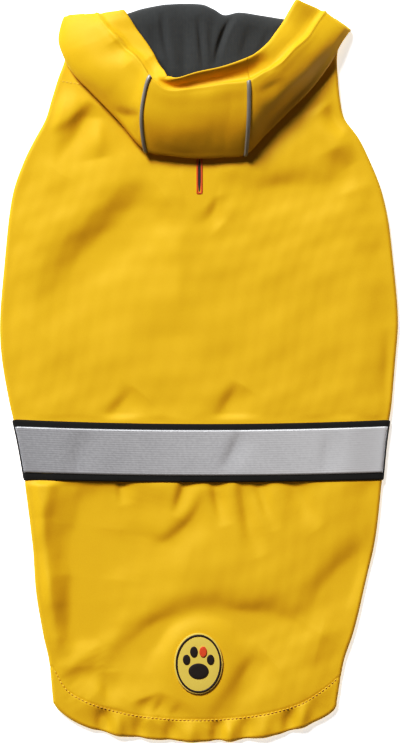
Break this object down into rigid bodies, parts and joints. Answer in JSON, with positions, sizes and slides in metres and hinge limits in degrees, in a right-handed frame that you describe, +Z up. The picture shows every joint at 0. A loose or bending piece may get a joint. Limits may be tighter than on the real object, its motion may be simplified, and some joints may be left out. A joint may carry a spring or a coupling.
{
  "type": "dog raincoat",
  "caption": "Pull-on hooded dog raincoat lying flat, back up: coated cloth back with elastic hem, stretch belly panel with leg holes, reflective band, piped hood thrown back.",
  "frame": {"origin": "middle of the footprint, on the surface the coat lies on", "axes": "+Z up, +Y from the tail hem to the neck, +X to the right as the laid coat is seen from above with its neck at the top"},
  "size_m": [0.3182, 0.5929, 0.0391],
  "materials": {
    "raincloth": "coated woven, satin",
    "jersey": "knit, matte",
    "piping": "reflective, satin",
    "elastic": "woven elastic, matte",
    "reflective_tape": "reflective woven, satin",
    "thread": "worked thread, satin",
    "cream_rubber": "moulded, matte",
    "dark_rubber": "moulded, matte",
    "orange_rubber": "moulded, matte"
  },
  "bodies": {
    "root": {"back_panel": "raincloth", "belly_panel": "jersey", "neck_jersey": "jersey", "hood_left": "raincloth", "hood_gusset": "raincloth", "hood_right": "raincloth", "piping_left": "piping", "piping_right": "piping", "band_elastic": "elastic", "band_tape": "reflective_tape", "leash_buttonhole": "thread", "badge_plate": "cream_rubber", "badge_border": "dark_rubber", "badge_paw_pad": "dark_rubber", "badge_toe_1": "dark_rubber", "badge_toe_2": "dark_rubber", "badge_toe_3": "orange_rubber", "badge_toe_4": "dark_rubber"}
  },
  "joints": []
}
